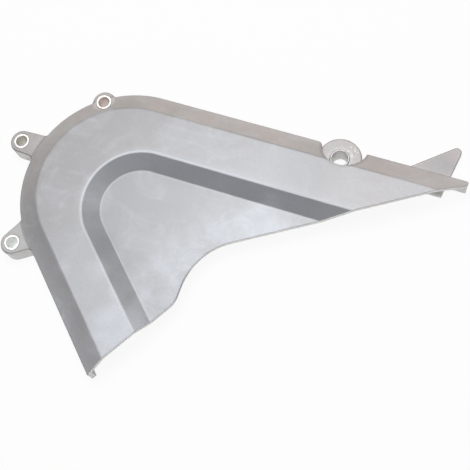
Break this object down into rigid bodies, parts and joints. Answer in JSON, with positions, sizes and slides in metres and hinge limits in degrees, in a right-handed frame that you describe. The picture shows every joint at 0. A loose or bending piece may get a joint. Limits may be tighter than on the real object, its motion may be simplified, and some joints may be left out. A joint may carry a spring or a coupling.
{
  "type": "sprocket cover",
  "caption": "Moulded motorbike sprocket cover with a sloped rim, a recessed panel, fixing lugs lined with metal collars, a pointed tab and one open side for the chain.",
  "frame": {"origin": "axis of the rear fixing bore, in the plane that the cover's wall, lugs and bosses stand on", "axes": "+Z out of the engine, through the face of the cover; +X along the long straight wall, towards the tail; +Y out of that wall"},
  "size_m": [0.2463, 0.176, 0.0165],
  "materials": {
    "moulding": "dark grey moulded plastic with a fine satin grain, dulled and hazy from use",
    "collar": "bright turned steel"
  },
  "bodies": {
    "root": {"cover": "moulding", "collar_front_upper": "collar", "collar_front_lower": "collar", "collar_top": "collar", "collar_rear": "collar"}
  },
  "joints": []
}
